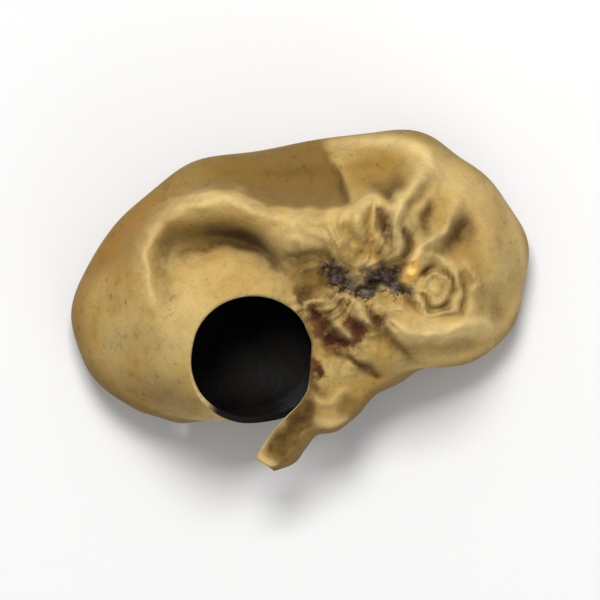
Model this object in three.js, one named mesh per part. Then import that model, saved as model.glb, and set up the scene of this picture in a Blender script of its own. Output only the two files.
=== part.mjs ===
// A whole dried wood ear: one leathery sheet, pale and felted on its back and black inside, which has rolled
// its margin under and its west lobe round a mouth. Millimetres, +Z up. The plan is measured from the scar
// where the ear sat on its branch, with +X along the longest extent.
import * as THREE from 'three';

// Driving dimensions
const SHEET = 0.8; // thickness of the dried flesh
const TOP_ROWS = 19; // rows of points from the mouth out to the shoulder
const ROLL_ROWS = 9; // rows of points round the rolled margin
const CREST_ROW = 12; // row that follows the crest of the long fold
const CREST_START = [15, 16.5]; // stations over which that row comes to the crest
const CREST_END = [20, 21]; // stations over which it leaves it again
const SHOULDER_FADE = 0.82; // share of the way out at which the folds start to die away
const PATH_STEPS = 4; // straight steps between two points of a fold's path
const STRAIGHT = 0.02; // a roll that turns less than this, in radians, is drawn with this turn
const SETTLE = 0.15; // height above the surface it rests on within which the sheet starts to lie flat

const PALE_BACK = 0xb0935f;

// The columns run round the mouth: each run of stations, first and last, and how many columns it gets
const SPANS = [
  [0, 6, 10],
  [6, 16, 44],
  [16, 24, 35],
  [24, 28, 8],
  [28, 36, 9],
];

// A rib of the sheet at each station, counter-clockwise from the tab: its foot at the mouth (x, y, z), the
// farthest point that it reaches in plan (x, y), the height of its shoulder, its slope at the foot and at
// the shoulder, and the length and turn in degrees of the roll past the shoulder. The last ones are the
// inner wall of the mouth, which leans in under the collar and turns up.
const STATIONS = [
  [-8.75, -13.1, 6.9, -7.2, -14.1, 6.7, -0.1, -0.4, 0.6, 30],
  [-8.15, -12.1, 7.5, -5.8, -13.5, 7, -0.1, -0.5, 0.9, 45],
  [-7.35, -11, 8.1, -5, -12.4, 7.5, -0.1, -0.5, 1.1, 55],
  [-6.5, -10.1, 8.6, -4.1, -11.4, 7.8, -0.1, -0.6, 1.5, 70],
  [-5.6, -9.2, 8.9, -2.6, -11.1, 7.7, -0.1, -0.7, 2.2, 90],
  [-5, -8.2, 9.1, -1.1, -9.9, 7.3, 0, -0.8, 2.8, 96],
  [-4.8, -7.4, 9.3, 0.6, -8.1, 6.9, 0.2, -0.9, 3.4, 98],
  [-4.65, -6.6, 9.4, 3, -6.6, 6.3, 0.4, -1.05, 4.3, 112],
  [-4.6, -5.9, 9.5, 5.8, -6.25, 5.6, 0.5, -1.15, 5.4, 132],
  [-4.6, -5.2, 9.5, 8.5, -5.2, 4.6, 0.5, -1.25, 6.7, 154],
  [-4.7, -4.6, 9.5, 10.3, -2.9, 4, 0.45, -1.3, 7.5, 166],
  [-4.9, -4.1, 9.5, 11.35, 0.1, 3.9, 0.4, -1.3, 7.6, 166],
  [-5.1, -3.6, 9.6, 11, 3.3, 4.1, 0.35, -1.3, 7.2, 160],
  [-5.3, -3.2, 9.7, 9.3, 6.2, 5, 0.3, -1.2, 6.8, 155],
  [-5.6, -2.8, 9.9, 6.9, 8.8, 5.4, 0.2, -1.15, 6.6, 150],
  [-6, -2.4, 10.3, 3.7, 10.5, 4.8, 0.1, -1.15, 6.6, 155],
  [-6.7, -1.9, 10.9, -0.6, 10.75, 3.85, -0.1, -1.2, 6.9, 160],
  [-7.6, -1.5, 11.5, -6, 10, 3.85, -0.2, -1.2, 7, 160],
  [-8.7, -1.3, 12.1, -11, 9.1, 5.2, -0.2, -1.2, 6.8, 155],
  [-9.9, -1.4, 12.7, -15.1, 7.6, 5.4, -0.2, -1.2, 6.8, 155],
  [-11.1, -1.8, 13.2, -18.5, 4.8, 5, -0.2, -1.2, 7.2, 162],
  [-12.2, -2.6, 13.5, -21.1, 1.2, 4.1, -0.2, -1.3, 7.8, 170],
  [-13, -3.7, 13.6, -22.4, -2.5, 3.9, -0.25, -1.3, 8, 172],
  [-13.4, -5, 13.4, -21.8, -5.7, 4.1, -0.3, -1.3, 7.8, 170],
  [-13.5, -6.4, 13, -20, -8, 4.8, -0.4, -1.3, 6.4, 146],
  [-13.2, -7.7, 12.4, -17.9, -9.4, 5.2, -0.6, -1.35, 4.8, 108],
  [-12.6, -8.7, 11.7, -16.1, -10.1, 5.4, -0.9, -1.35, 3.7, 72],
  [-11.7, -9.5, 10.7, -14.8, -10.4, 5.3, -1.1, -1.25, 2.7, 38],
  [-10.7, -10, 9.6, -14, -10.2, 4.9, -1.1, -1.05, 2.4, 20],
  [-9.6, -10.25, 8.5, -14, -9.3, 4.2, -0.95, -0.8, 2.4, 4],
  [-8.2, -10.2, 7.5, -14.5, -8, 3.6, -0.75, -0.55, 2.4, -14],
  [-6.6, -9.9, 6.8, -14.9, -5.9, 3.1, -0.6, -0.4, 2.7, -30],
  [-5.1, -9.1, 6.5, -14.8, -4, 3, -0.6, -0.3, 2.8, -36],
  [-4.1, -7.8, 6.4, -14.1, -2.2, 3, -0.6, -0.3, 2.8, -36],
  [-3.6, -6.2, 6.5, -12.8, -0.7, 3.2, -0.5, -0.4, 2.8, -34],
  [-3.6, -4.6, 6.7, -10.8, 0.6, 3.4, -0.5, -0.4, 2.6, -30],
  [-3.9, -3.2, 7, -9, 1.4, 3.9, -0.4, -0.4, 2.4, -25],
];

// Where the folded body gives way to the smooth inner wall, in stations
const CORNER = [25.5, 28];

// Shallow waves of the flank, as height, stations' frequency and phase
const WAVES = [
  [0.16, 2.1, 0.6],
  [0.13, 3.7, 2.2],
];
const CALM_WEST = 0.55; // how much of the waves the west lobe lacks
const WEST_LOBE = [18, 21]; // stations over which the calm of the west lobe comes in
const WAVES_START = [3, 7]; // stations over which the waves come in past the tab
const WAVES_END = [24, 27]; // stations over which they die away before the inner wall
const WAVES_OUT = [0.25, 0.8]; // shares of the way along a rib over which they grow
const BODY_SHARE = 0.6; // share of a rib's way that lies before the roll

// Folds of the whole sheet: half width, and points of the crest (x, y, height), downwards where negative.
// The first is the long fold, whose crest a row of points follows.
const FOLDS = [
  { // the long round fold north of the mouth
    width: 1.6,
    path: [[-16.8, -1.5, 0.4], [-17, 0.6, 1], [-16.6, 2.6, 1.5], [-15.4, 4.2, 1.8], [-13.4, 5, 2],
      [-11, 5.2, 2.1], [-8.8, 4.7, 2], [-6, 3.9, 1.9], [-3.2, 3.9, 1.8], [-1.2, 4.6, 1.5],
      [-0.2, 5.4, 0.9]],
  },
  { // the tall fold north-east of the scar
    width: 1.15,
    path: [[1.4, 2.4, 0.6], [1.6, 4.6, 1.3], [2.5, 6.4, 1.4], [3.6, 7.9, 1.1], [4.2, 8.8, 0.5]],
  },
  { // the swell along the east margin
    width: 1.7,
    path: [[5.2, 7.6, 0.5], [7.4, 6.3, 1], [8.6, 3.8, 1.1], [9, 1.4, 1], [8.6, -1.2, 0.5]],
  },
  { // the lip under the ringed whorl
    width: 1.15,
    path: [[1, -3.6, 0.5], [2.6, -4.2, 0.9], [4.6, -4, 1], [6.6, -3.5, 0.9], [8.4, -3.2, 0.4]],
  },
  { // the deep crease between the long fold and the collar
    width: 1.4,
    path: [[-15.4, 2.2, -0.5], [-13.4, 2.7, -1.2], [-11.2, 3, -1.7], [-9.5, 2.6, -1.9],
      [-8.1, 1.7, -1.7], [-7, 0.5, -1.2], [-6, -1, -0.5]],
  },
  { // the trough behind the long fold
    width: 1.35,
    path: [[-15.5, 6.7, -0.3], [-13, 7.2, -0.8], [-10, 7.1, -1.1], [-7, 6.6, -1.4],
      [-4, 6.6, -1.6], [-2, 7, -1.7], [0.4, 7.4, -1.5], [2, 8, -0.8]],
  },
  { // the dell in the east lobe
    width: 1.15,
    path: [[4.6, 1.8, -0.5], [5.8, 2.8, -1.5], [6.6, 4, -1.3], [7.2, 5, -0.4]],
  },
  { // the hollow of the scar
    width: 1.5,
    path: [[-3.2, 0.2, -1], [-1.2, -0.4, -1.6], [0.6, -0.4, -1.8], [1.9, -0.5, -1.2]],
  },
  { // the crease down to the waist
    width: 1.25,
    path: [[-3.6, -3, -0.6], [-2.8, -4.7, -1], [-1.2, -6.3, -0.6]],
  },
];

// Welts raised on the pale back alone, in the same form
const WELTS = [
  { // the long round fold north of the mouth
    width: 1.3,
    path: [[-16.8, -1.8, 0.1], [-17.1, 0.6, 0.3], [-16.5, 2.9, 0.45], [-15.2, 4.6, 0.55],
      [-13.2, 5.4, 0.6], [-11, 5.6, 0.65], [-8.9, 5, 0.55], [-6.8, 4.4, 0.45], [-4.4, 4.3, 0.45],
      [-2.4, 4.6, 0.45]],
  },
  { // the tall fold north-east of the scar
    width: 0.9,
    path: [[1.6, 1.8, 0.6], [1.4, 3.4, 1.1], [1.6, 4.9, 1.4], [2.3, 6.1, 1.4], [3.3, 7.4, 1.3],
      [4.1, 8.6, 1], [3.6, 9.6, 0.6], [1.4, 10, 0.4], [-1.6, 9.8, 0.2]],
  },
  { // the looped fold at the long fold's east end
    width: 0.85,
    path: [[-1.2, 3, 0.4], [-1.2, 4.6, 0.8], [-0.7, 5.6, 1], [-0.1, 5.9, 0.8], [0.4, 5.2, 0.4]],
  },
  { // the spur east of the scar
    width: 0.9,
    path: [[2.4, 0.2, 0.6], [3, 1.5, 1], [3.9, 2.6, 1.1], [5, 3.5, 0.9], [5.6, 4.7, 0.5],
      [6.2, 5.7, 0.2]],
  },
  { // the lip under the ringed whorl
    width: 0.9,
    path: [[1.2, -3.3, 0.4], [2.4, -4.1, 0.7], [3.6, -4.3, 0.8], [5.4, -4, 0.7], [6.9, -3.5, 0.6],
      [8.8, -3.9, 0.2]],
  },
];

// 0 before a, 1 past b, with a soft start and end
function ease(a, b, t) {
  const f = Math.min(Math.max((t - a) / (b - a), 0), 1);
  return f * f * (3 - 2 * f);
}

// A Catmull-Rom curve through the rows of a table, at t rows from its start
function through(table, t) {
  const last = table.length - 1;
  const i = Math.min(Math.max(Math.floor(t), 0), last - 1);
  const f = t - i;
  const b = table[i];
  const c = table[i + 1];
  return b.map((value, k) => {
    const next = c[k];
    const before = i > 0 ? table[i - 1][k] : 2 * value - next;
    const after = i < last - 1 ? table[i + 2][k] : 2 * next - value;
    const square = 2 * before - 5 * value + 4 * next - after;
    const cube = 3 * value - before - 3 * next + after;
    return 0.5 * (2 * value + (next - before) * f + square * f * f + cube * f * f * f);
  });
}

// A fold with its path drawn as short straight steps
function drawn(fold) {
  const steps = (fold.path.length - 1) * PATH_STEPS;
  const points = Array.from({ length: steps + 1 }, (_, k) => through(fold.path, k / PATH_STEPS));
  return { width: fold.width, points };
}

// Height of a drawn fold at a point in plan: a bell across the path that follows the heights along it
function heightOf(fold, x, y) {
  let nearest = Infinity;
  let height = 0;
  for (let k = 1; k < fold.points.length; k += 1) {
    const [ax, ay, az] = fold.points[k - 1];
    const [bx, by, bz] = fold.points[k];
    const dx = bx - ax;
    const dy = by - ay;
    const f = Math.min(Math.max(((x - ax) * dx + (y - ay) * dy) / (dx * dx + dy * dy), 0), 1);
    const gap = (x - ax - f * dx) ** 2 + (y - ay - f * dy) ** 2;
    if (gap < nearest) {
      nearest = gap;
      height = az + f * (bz - az);
    }
  }
  return height * Math.exp(-nearest / fold.width ** 2);
}

// Station of each column
function columnStations() {
  const stations = [SPANS[0][0]];
  for (const [first, last, count] of SPANS) {
    for (let k = 1; k <= count; k += 1) {
      stations.push(first + ((last - first) * k) / count);
    }
  }
  return stations;
}

// Share of a rib's way at which it crosses a path in plan, or 0 where it doesn't
function crossing(path, x, y, headX, headY, span) {
  for (let k = 1; k < path.length; k += 1) {
    const [ax, ay] = path[k - 1];
    const dx = path[k][0] - ax;
    const dy = path[k][1] - ay;
    const turn = headX * dy - headY * dx;
    const along = ((ax - x) * headY - (ay - y) * headX) / turn;
    const share = ((ax - x) * dy - (ay - y) * dx) / (turn * span);
    if (along >= 0 && along <= 1 && share > 0) return share;
  }
  return 0;
}

// Shares of the way from the foot to the shoulder at which a rib's rows lie, with one at the crest's share
function rowShares(station, crest) {
  const held = crest > 0 ? ease(...CREST_START, station) * (1 - ease(...CREST_END, station)) : 0;
  return Array.from({ length: TOP_ROWS }, (_, row) => {
    const even = row / (TOP_ROWS - 1);
    const before = (crest * row) / CREST_ROW;
    const after = crest + ((1 - crest) * (row - CREST_ROW)) / (TOP_ROWS - 1 - CREST_ROW);
    return even * (1 - held) + (row < CREST_ROW ? before : after) * held;
  });
}

// How much of the folds' height there is at a station, a share of the way from the foot to the shoulder
function foldedAt(station, share) {
  return (1 - ease(SHOULDER_FADE, 1, share)) * (1 - ease(...CORNER, station));
}

// The middle of the sheet along one rib: from its foot up over the body and down to the shoulder, with the
// folds on it, and then round the roll. Returned with the shares of its rows.
function rib(station, folds) {
  const [footX, footY, footZ, farX, farY, shoulderZ, lift, drop, rollLength, rollTurn] =
    through(STATIONS, station);
  const away = Math.hypot(farX - footX, farY - footY);
  const headX = (farX - footX) / away;
  const headY = (farY - footY) / away;
  const start = Math.atan(-drop);
  const turn = THREE.MathUtils.degToRad(rollTurn);
  const turned = Math.abs(turn) < STRAIGHT ? STRAIGHT : turn;
  const radius = rollLength / turned;
  const farthest = turned > 0 ? Math.min(Math.PI / 2, start + turned) : start + turned;
  const reach = radius * (Math.sin(farthest) - Math.sin(start)) + SHEET / 2;
  const span = away - reach;
  const points = [];
  const shares = rowShares(station, crossing(folds[0].points, footX, footY, headX, headY, span));
  for (const f of shares) {
    const x = footX + headX * span * f;
    const y = footY + headY * span * f;
    const ends = footZ * (2 * f ** 3 - 3 * f ** 2 + 1) + shoulderZ * (3 * f ** 2 - 2 * f ** 3);
    const slopes = lift * (f ** 3 - 2 * f ** 2 + f) + drop * (f ** 3 - f ** 2);
    const relief = folds.reduce((sum, fold) => sum + heightOf(fold, x, y), 0);
    points.push(new THREE.Vector3(x, y, ends + span * slopes + relief * foldedAt(station, f)));
  }
  for (let row = 1; row <= ROLL_ROWS; row += 1) {
    const angle = start + (turned * row) / ROLL_ROWS;
    const out = span + radius * (Math.sin(angle) - Math.sin(start));
    const down = radius * (Math.cos(start) - Math.cos(angle));
    points.push(new THREE.Vector3(footX + headX * out, footY + headY * out, shoulderZ - down));
  }
  return { points, shares };
}

// Direction out of the pale side at each point of a grid of ribs
function facing(ribs) {
  const lastColumn = ribs.length - 1;
  const lastRow = ribs[0].length - 1;
  return ribs.map((points, i) =>
    points.map((_, j) => {
      const round = new THREE.Vector3().subVectors(
        ribs[Math.min(i + 1, lastColumn)][j],
        ribs[Math.max(i - 1, 0)][j],
      );
      const along = new THREE.Vector3().subVectors(
        ribs[i][Math.min(j + 1, lastRow)],
        ribs[i][Math.max(j - 1, 0)],
      );
      return along.cross(round).normalize();
    }),
  );
}

// Height of the shallow waves at a station, for a point a share of the way along its rib
function waveAt(station, share) {
  const wave = WAVES.reduce(
    (sum, [height, frequency, phase]) => sum + height * Math.sin(frequency * station + phase),
    0,
  );
  const west = 1 - CALM_WEST * ease(...WEST_LOBE, station);
  const ends = ease(...WAVES_START, station) * (1 - ease(...WAVES_END, station));
  return wave * west * ends * ease(...WAVES_OUT, share);
}

// A height pressed flat on the surface that the ear rests on, with a soft start
function settled(height) {
  return height < SETTLE ? Math.max(height + SETTLE, 0) ** 2 / (4 * SETTLE) : height;
}

// The whole ear as one closed mesh
function earGeometry() {
  const stations = columnStations();
  const folds = FOLDS.map(drawn);
  const welts = WELTS.map(drawn);
  const drawnRibs = stations.map((station) => rib(station, folds));
  const ribs = drawnRibs.map(({ points }) => points);
  const shares = drawnRibs.map((drawnRib) => drawnRib.shares);

  const still = facing(ribs);
  ribs.forEach((points, i) => {
    points.forEach((point, j) => {
      const roll = Math.max((j - TOP_ROWS + 1) / ROLL_ROWS, 0) * (1 - BODY_SHARE);
      const body = (j < TOP_ROWS ? shares[i][j] : 1) * BODY_SHARE;
      point.addScaledVector(still[i][j], waveAt(stations[i], body + roll));
      point.z = SHEET / 2 + settled(point.z - SHEET / 2);
    });
  });

  const out = facing(ribs);
  const pale = [];
  const dark = [];
  ribs.forEach((points, i) => {
    points.forEach((point, j) => {
      const fade = j < TOP_ROWS ? foldedAt(stations[i], shares[i][j]) : 0;
      const back = point.clone().addScaledVector(out[i][j], SHEET / 2);
      const relief = welts.reduce((sum, welt) => sum + heightOf(welt, back.x, back.y), 0);
      back.z = Math.max(back.z + relief * fade, 0);
      pale.push(back);
      dark.push(point.clone().addScaledVector(out[i][j], -SHEET / 2));
    });
  });

  const columns = stations.length;
  const rows = TOP_ROWS + ROLL_ROWS;
  const side = columns * rows;
  const backFacing = facing(stations.map((_, i) => pale.slice(i * rows, (i + 1) * rows)));
  const faces = [];
  for (let i = 0; i < columns - 1; i += 1) {
    for (let j = 0; j < rows - 1; j += 1) {
      const a = i * rows + j;
      const b = a + rows;
      // cut where the back turns least, alike on both sides of the sheet
      const rising = backFacing[i][j].dot(backFacing[i + 1][j + 1]);
      const falling = backFacing[i + 1][j].dot(backFacing[i][j + 1]);
      const halves =
        rising >= falling ? [[a, a + 1, b + 1], [a, b + 1, b]] : [[a, a + 1, b], [a + 1, b + 1, b]];
      for (const [p, q, r] of halves) {
        faces.push(p, q, r, side + p, side + r, side + q);
      }
    }
  }
  // the thin edge all round the sheet
  const edge = [];
  for (let i = 0; i < columns; i += 1) edge.push(i * rows);
  for (let j = 1; j < rows; j += 1) edge.push((columns - 1) * rows + j);
  for (let i = columns - 2; i >= 0; i -= 1) edge.push(i * rows + rows - 1);
  for (let j = rows - 2; j > 0; j -= 1) edge.push(j);
  edge.forEach((a, k) => {
    const b = edge[(k + 1) % edge.length];
    faces.push(a, b, side + b, a, side + b, side + a);
  });

  const geometry = new THREE.BufferGeometry();
  geometry.setFromPoints([...pale, ...dark]);
  geometry.setIndex(faces);
  // stands on the middle of its box
  geometry.computeBoundingBox();
  const middle = geometry.boundingBox.getCenter(new THREE.Vector3());
  geometry.translate(-middle.x, -middle.y, 0);
  geometry.computeVertexNormals();
  return geometry;
}

const backMaterial = new THREE.MeshStandardMaterial({
  color: PALE_BACK,
  roughness: 0.9,
  metalness: 0,
});

const ear = new THREE.Mesh(earGeometry(), backMaterial);
ear.name = 'wood_ear';

const group = new THREE.Group();
group.add(ear);

export default group;
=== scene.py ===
"""A whole dried wood ear on a plain floor, seen from straight above.

The ear is one leathery sheet, pale and felted on its back and black inside. Its columns run round the mouth
of the west roll, and its rows run from the mouth out over the body and round the rolled margin.
"""

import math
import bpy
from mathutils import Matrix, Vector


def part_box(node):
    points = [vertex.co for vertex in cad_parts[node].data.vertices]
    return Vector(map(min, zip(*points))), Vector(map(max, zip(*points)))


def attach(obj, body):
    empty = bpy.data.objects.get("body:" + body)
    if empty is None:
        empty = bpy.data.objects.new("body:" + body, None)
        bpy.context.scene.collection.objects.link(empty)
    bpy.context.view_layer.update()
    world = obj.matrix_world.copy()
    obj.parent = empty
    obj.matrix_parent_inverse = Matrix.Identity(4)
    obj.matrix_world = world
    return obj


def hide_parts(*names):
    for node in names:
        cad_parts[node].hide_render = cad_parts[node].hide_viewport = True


bl_info = {
    "name": "Dried Wood Ear",
    "version": (1, 0, 0),
    "blender": (4, 5, 0),
    "location": "View3D > Sidebar > Wood Ear",
    "description": "Grows a curled dried wood ear and lights it for a picture from above",
    "category": "Add Mesh",
}

import bpy
import numpy as np

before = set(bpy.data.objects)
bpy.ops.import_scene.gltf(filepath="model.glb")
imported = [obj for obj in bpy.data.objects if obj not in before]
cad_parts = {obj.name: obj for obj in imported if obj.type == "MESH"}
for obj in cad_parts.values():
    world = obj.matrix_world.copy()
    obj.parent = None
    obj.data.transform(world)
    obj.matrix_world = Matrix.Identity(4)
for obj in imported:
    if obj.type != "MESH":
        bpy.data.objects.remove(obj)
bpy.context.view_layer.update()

NODE = "wood_ear"
MM = 0.001

# Millimetres, in plan from the scar where the ear sat on its branch. A rib of the sheet at each station,
# counter-clockwise from the tab: its foot at the mouth (x, y, z), the farthest point that it reaches in plan
# (x, y), the height of its shoulder, its slope at the foot and at the shoulder, and the length and turn in
# degrees of the roll past the shoulder. The last ones are the inner wall of the mouth.
STATIONS = (
    (-8.75, -13.1, 6.9, -7.2, -14.1, 6.7, -0.1, -0.4, 0.6, 30),
    (-8.15, -12.1, 7.5, -5.8, -13.5, 7, -0.1, -0.5, 0.9, 45),
    (-7.35, -11, 8.1, -5, -12.4, 7.5, -0.1, -0.5, 1.1, 55),
    (-6.5, -10.1, 8.6, -4.1, -11.4, 7.8, -0.1, -0.6, 1.5, 70),
    (-5.6, -9.2, 8.9, -2.6, -11.1, 7.7, -0.1, -0.7, 2.2, 90),
    (-5, -8.2, 9.1, -1.1, -9.9, 7.3, 0, -0.8, 2.8, 96),
    (-4.8, -7.4, 9.3, 0.6, -8.1, 6.9, 0.2, -0.9, 3.4, 98),
    (-4.65, -6.6, 9.4, 3, -6.6, 6.3, 0.4, -1.05, 4.3, 112),
    (-4.6, -5.9, 9.5, 5.8, -6.25, 5.6, 0.5, -1.15, 5.4, 132),
    (-4.6, -5.2, 9.5, 8.5, -5.2, 4.6, 0.5, -1.25, 6.7, 154),
    (-4.7, -4.6, 9.5, 10.3, -2.9, 4, 0.45, -1.3, 7.5, 166),
    (-4.9, -4.1, 9.5, 11.35, 0.1, 3.9, 0.4, -1.3, 7.6, 166),
    (-5.1, -3.6, 9.6, 11, 3.3, 4.1, 0.35, -1.3, 7.2, 160),
    (-5.3, -3.2, 9.7, 9.3, 6.2, 5, 0.3, -1.2, 6.8, 155),
    (-5.6, -2.8, 9.9, 6.9, 8.8, 5.4, 0.2, -1.15, 6.6, 150),
    (-6, -2.4, 10.3, 3.7, 10.5, 4.8, 0.1, -1.15, 6.6, 155),
    (-6.7, -1.9, 10.9, -0.6, 10.75, 3.85, -0.1, -1.2, 6.9, 160),
    (-7.6, -1.5, 11.5, -6, 10, 3.85, -0.2, -1.2, 7, 160),
    (-8.7, -1.3, 12.1, -11, 9.1, 5.2, -0.2, -1.2, 6.8, 155),
    (-9.9, -1.4, 12.7, -15.1, 7.6, 5.4, -0.2, -1.2, 6.8, 155),
    (-11.1, -1.8, 13.2, -18.5, 4.8, 5, -0.2, -1.2, 7.2, 162),
    (-12.2, -2.6, 13.5, -21.1, 1.2, 4.1, -0.2, -1.3, 7.8, 170),
    (-13, -3.7, 13.6, -22.4, -2.5, 3.9, -0.25, -1.3, 8, 172),
    (-13.4, -5, 13.4, -21.8, -5.7, 4.1, -0.3, -1.3, 7.8, 170),
    (-13.5, -6.4, 13, -20, -8, 4.8, -0.4, -1.3, 6.4, 146),
    (-13.2, -7.7, 12.4, -17.9, -9.4, 5.2, -0.6, -1.35, 4.8, 108),
    (-12.6, -8.7, 11.7, -16.1, -10.1, 5.4, -0.9, -1.35, 3.7, 72),
    (-11.7, -9.5, 10.7, -14.8, -10.4, 5.3, -1.1, -1.25, 2.7, 38),
    (-10.7, -10, 9.6, -14, -10.2, 4.9, -1.1, -1.05, 2.4, 20),
    (-9.6, -10.25, 8.5, -14, -9.3, 4.2, -0.95, -0.8, 2.4, 4),
    (-8.2, -10.2, 7.5, -14.5, -8, 3.6, -0.75, -0.55, 2.4, -14),
    (-6.6, -9.9, 6.8, -14.9, -5.9, 3.1, -0.6, -0.4, 2.7, -30),
    (-5.1, -9.1, 6.5, -14.8, -4, 3, -0.6, -0.3, 2.8, -36),
    (-4.1, -7.8, 6.4, -14.1, -2.2, 3, -0.6, -0.3, 2.8, -36),
    (-3.6, -6.2, 6.5, -12.8, -0.7, 3.2, -0.5, -0.4, 2.8, -34),
    (-3.6, -4.6, 6.7, -10.8, 0.6, 3.4, -0.5, -0.4, 2.6, -30),
    (-3.9, -3.2, 7, -9, 1.4, 3.9, -0.4, -0.4, 2.4, -25),
)
# The columns run round the mouth: each run of stations, and its share of the columns
SPANS = ((0, 6, 9), (6, 16, 46), (16, 24, 34), (24, 28, 7), (28, 36, 6))
CORNER = (25.5, 28)  # stations over which the folded body gives way to the inner wall
SHOULDER_FADE = 0.82  # share of the way out at which the folds start to die away
BODY_SHARE = 0.6  # share of a rib's way that lies before the roll
SETTLE = 0.15  # height above the floor within which the sheet starts to lie flat
NORMAL_PASSES = 60  # times that the sheet's normals are drawn towards their neighbours
PIT_DEPTH = 0.6  # depth that no crease or pit goes past
SPARE_FLESH = 0.35  # depth that a crease takes from the flesh before it shows on the inner face
THINNING = 1.2  # distance from the sheet's edge within which it gets thinner
CRUMPLE = 0.11  # distance that the crumpling shifts the lines of the relief
SWELL = 0.05  # height of the open felt's slow swells

# Folds of the whole sheet: half width, and points of the crest (x, y, height), downwards where negative
FOLDS = (
    # the long round fold north of the mouth
    (1.6, ((-16.8, -1.5, 0.4), (-17, 0.6, 1), (-16.6, 2.6, 1.5), (-15.4, 4.2, 1.8), (-13.4, 5, 2),
            (-11, 5.2, 2.1), (-8.8, 4.7, 2), (-6, 3.9, 1.9), (-3.2, 3.9, 1.8), (-1.2, 4.6, 1.5),
            (-0.2, 5.4, 0.9))),
    # the tall fold north-east of the scar
    (1.15, ((1.4, 2.4, 0.6), (1.6, 4.6, 1.3), (2.5, 6.4, 1.4), (3.6, 7.9, 1.1), (4.2, 8.8, 0.5))),
    # the swell along the east margin
    (1.7, ((5.2, 7.6, 0.5), (7.4, 6.3, 1), (8.6, 3.8, 1.1), (9, 1.4, 1), (8.6, -1.2, 0.5))),
    # the lip under the ringed whorl
    (1.15, ((1, -3.6, 0.5), (2.6, -4.2, 0.9), (4.6, -4, 1), (6.6, -3.5, 0.9), (8.4, -3.2, 0.4))),
    # the deep crease between the long fold and the collar
    (1.4, ((-15.4, 2.2, -0.5), (-13.4, 2.7, -1.2), (-11.2, 3, -1.7), (-9.5, 2.6, -1.9), (-8.1, 1.7, -1.7),
            (-7, 0.5, -1.2), (-6, -1, -0.5))),
    # the trough behind the long fold
    (1.35, ((-15.5, 6.7, -0.3), (-13, 7.2, -0.8), (-10, 7.1, -1.1), (-7, 6.6, -1.4), (-4, 6.6, -1.6),
            (-2, 7, -1.7), (0.4, 7.4, -1.5), (2, 8, -0.8))),
    # the dell in the east lobe
    (1.15, ((4.6, 1.8, -0.5), (5.8, 2.8, -1.5), (6.6, 4, -1.3), (7.2, 5, -0.4))),
    # the hollow of the scar
    (1.5, ((-3.2, 0.2, -1), (-1.2, -0.4, -1.6), (0.6, -0.4, -1.8), (1.9, -0.5, -1.2))),
    # the crease down to the waist
    (1.25, ((-3.6, -3, -0.6), (-2.8, -4.7, -1), (-1.2, -6.3, -0.6))),
)
# Welts of the pale back alone, in the same form
WELTS = (
    # the long round fold north of the mouth
    (1.3, ((-16.8, -1.8, 0.1), (-17.1, 0.6, 0.3), (-16.5, 2.9, 0.45), (-15.2, 4.6, 0.55), (-13.2, 5.4, 0.6),
            (-11, 5.6, 0.65), (-8.9, 5, 0.55), (-6.8, 4.4, 0.45), (-4.4, 4.3, 0.45), (-2.4, 4.6, 0.45))),
    # the tall fold north-east of the scar
    (0.9, ((1.6, 1.8, 0.6), (1.4, 3.4, 1.1), (1.6, 4.9, 1.4), (2.3, 6.1, 1.4), (3.3, 7.4, 1.3),
            (4.1, 8.6, 1), (3.6, 9.6, 0.6), (1.4, 10, 0.4), (-1.6, 9.8, 0.2))),
    # the looped fold at the long fold's east end
    (0.85, ((-1.2, 3, 0.4), (-1.2, 4.6, 0.8), (-0.7, 5.6, 1), (-0.1, 5.9, 0.8), (0.4, 5.2, 0.4))),
    # the spur east of the scar
    (0.9, ((2.4, 0.2, 0.6), (3, 1.5, 1), (3.9, 2.6, 1.1), (5, 3.5, 0.9), (5.6, 4.7, 0.5), (6.2, 5.7, 0.2))),
    # the lip under the ringed whorl
    (0.9, ((1.2, -3.3, 0.4), (2.4, -4.1, 0.7), (3.6, -4.3, 0.8), (5.4, -4, 0.7), (6.9, -3.5, 0.6),
            (8.8, -3.9, 0.2))),
)
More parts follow.
